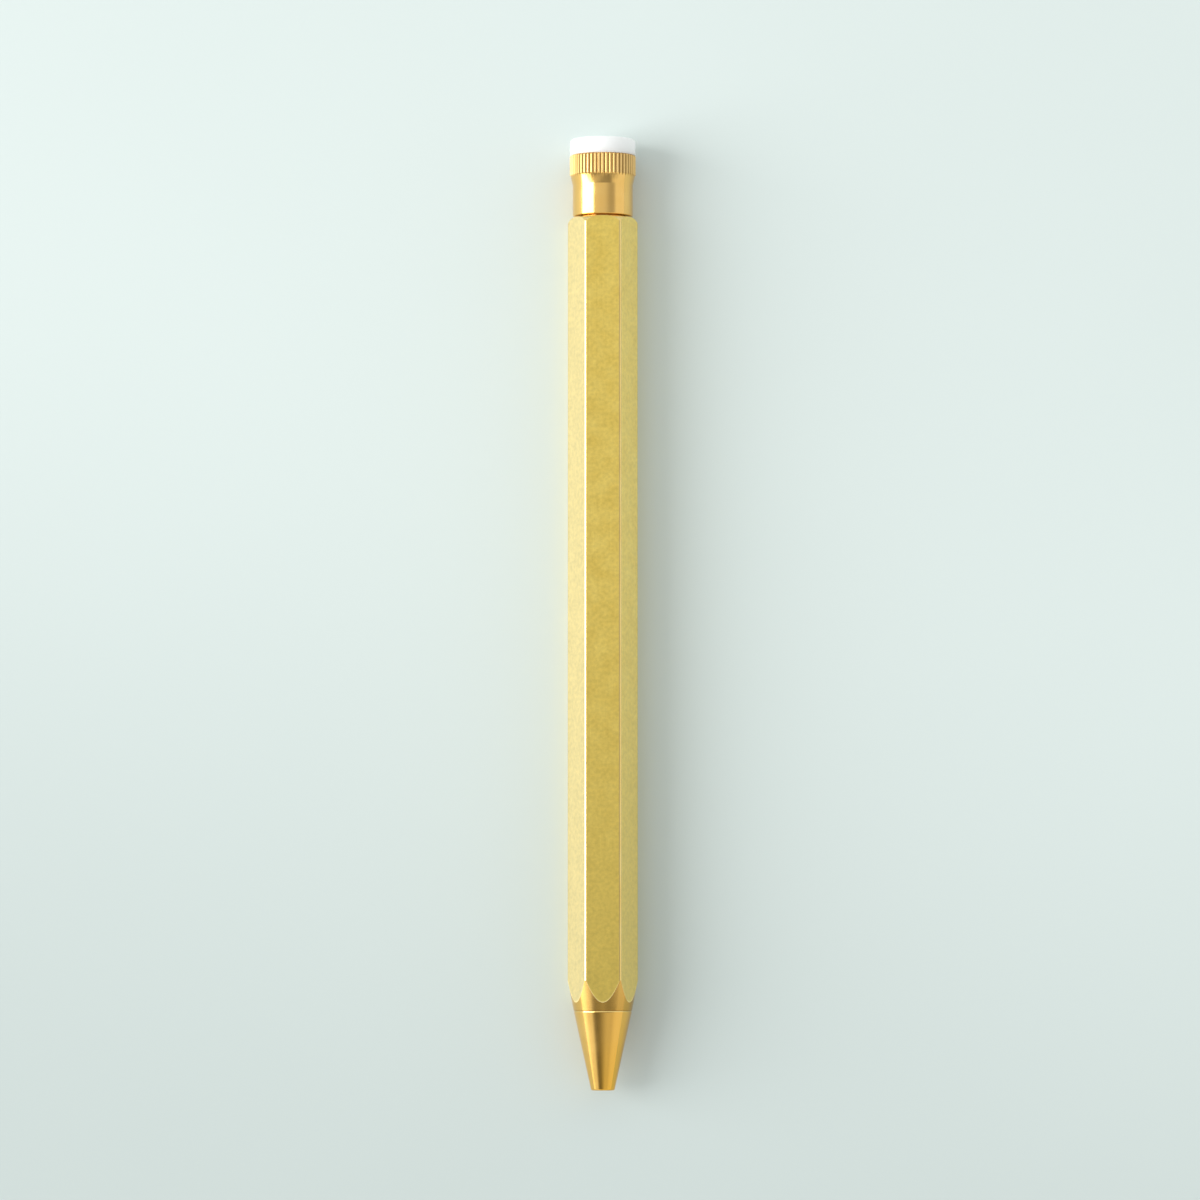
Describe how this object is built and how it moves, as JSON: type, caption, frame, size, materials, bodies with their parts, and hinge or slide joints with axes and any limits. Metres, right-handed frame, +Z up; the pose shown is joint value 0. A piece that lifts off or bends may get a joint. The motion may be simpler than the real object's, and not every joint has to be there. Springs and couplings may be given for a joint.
{
  "type": "ballpoint pen",
  "caption": "Hexagonal brass ballpoint pen with a turned cone nose, a knurled ferrule that twists to put the refill out, and a white plug at its end.",
  "frame": {"origin": "on the surface that the pen lies on, under the middle of its length", "axes": "+Y along the pen's axis from the nose to the white end plug, +Z up from the lower flat to the upper flat, +X to the right seen from the nose"},
  "size_m": [0.0102, 0.1396, 0.0097],
  "materials": {
    "satin_pale_brass": "satin, fine-grained",
    "turned_brass": "fine turned, polished",
    "machined_brass": "as machined",
    "spring_steel": "bright drawn",
    "carbide": "polished",
    "white_vinyl": "moulded matt",
    "natural_acetal": "moulded",
    "dark_plastic": "moulded",
    "black_rubber": "moulded",
    "black_ink": "wet"
  },
  "bodies": {
    "barrel": {"barrel": "satin_pale_brass", "guide_bush": "machined_brass", "thrust_washer": "natural_acetal"},
    "nose": {"nose_cone": "turned_brass", "nose_o_ring": "black_rubber", "return_spring": "spring_steel"},
    "refill": {"point_tip": "spring_steel", "refill_tube": "spring_steel", "ink_column": "black_ink", "refill_end_plug": "dark_plastic", "plunger": "natural_acetal", "drive_pin_left": "spring_steel", "drive_pin_right": "spring_steel"},
    "ball": {"writing_ball": "carbide"},
    "twist_head": {"twist_spindle": "machined_brass", "retaining_clip": "spring_steel", "brake_o_ring": "black_rubber", "ferrule": "turned_brass", "ferrule_screw": "spring_steel", "end_cap": "white_vinyl"}
  },
  "joints": [
    {"name": "head_twist", "type": "hinge", "parent": "barrel", "child": "twist_head", "pos_m": [0, 0.0625, 0.00484], "axis": [0, -1, 0], "range_deg": [0, 180]},
    {"name": "refill_slide", "type": "slide", "parent": "barrel", "child": "refill", "axis": [0, -1, 0], "range_m": [0, 0.005], "deforming": ["return_spring"]},
    {"name": "ball_roll", "type": "hinge", "parent": "refill", "child": "ball", "pos_m": [0, -0.06729, 0.00484], "axis": [1, 0, 0], "continuous": true},
    {"name": "nose_unscrew", "type": "slide", "parent": "barrel", "child": "nose", "axis": [0, -1, 0], "range_m": [0, 0.022]}
  ],
  "couplings": [
    {"joint": "head_twist", "follows": "refill_slide", "rad_per_m": 628.32}
  ]
}
